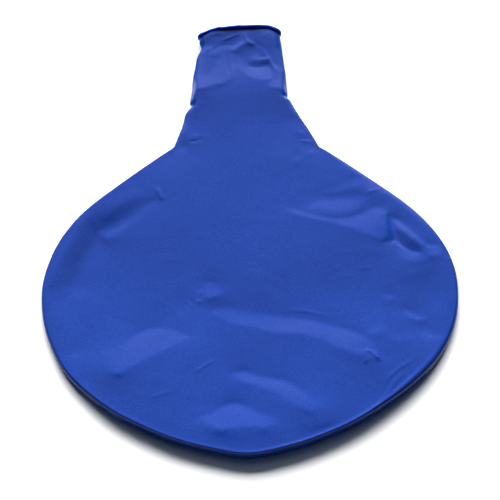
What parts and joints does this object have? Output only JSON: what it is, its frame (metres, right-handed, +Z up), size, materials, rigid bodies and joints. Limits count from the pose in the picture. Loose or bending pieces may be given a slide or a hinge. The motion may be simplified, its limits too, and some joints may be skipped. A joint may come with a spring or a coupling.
{
  "type": "uninflated giant round balloon",
  "caption": "Large round rubber party balloon, uninflated and lying flat, with a wide folded neck and a rolled bead round its slack, slightly open mouth.",
  "frame": {"origin": "on the resting face, under the middle of the bounding box", "axes": "+Z up out of the flattened body; +Y from the tip of the body to the mouth; +X to the right seen from the tip"},
  "size_m": [0.32, 0.4539, 0.014],
  "materials": {
    "latex_film": "smooth dipped latex, soft sheen under a trace of release powder",
    "latex_neck": "smooth dipped latex, slightly thicker and softly creased",
    "latex_bead": "film rolled on itself, so thicker and darker"
  },
  "bodies": {
    "body": {"lower_wall": "latex_film", "upper_wall": "latex_film", "edge_fold": "latex_film"},
    "neck_lower": {"crease_band": "latex_film", "neck_lower_wall": "latex_neck", "bead_lower_half": "latex_bead"},
    "neck_upper": {"neck_upper_wall": "latex_neck", "bead_upper_half": "latex_bead"}
  },
  "joints": [
    {"name": "neck_fold", "type": "hinge", "parent": "body", "child": "neck_lower", "pos_m": [0, 0.075, 0.002], "axis": [1, 0, 0], "range_deg": [-60, 90]},
    {"name": "mouth_open", "type": "hinge", "parent": "neck_lower", "child": "neck_upper", "pos_m": [0, 0.0837, 0.0021], "axis": [1, 0, 0], "range_deg": [0, 10]}
  ]
}
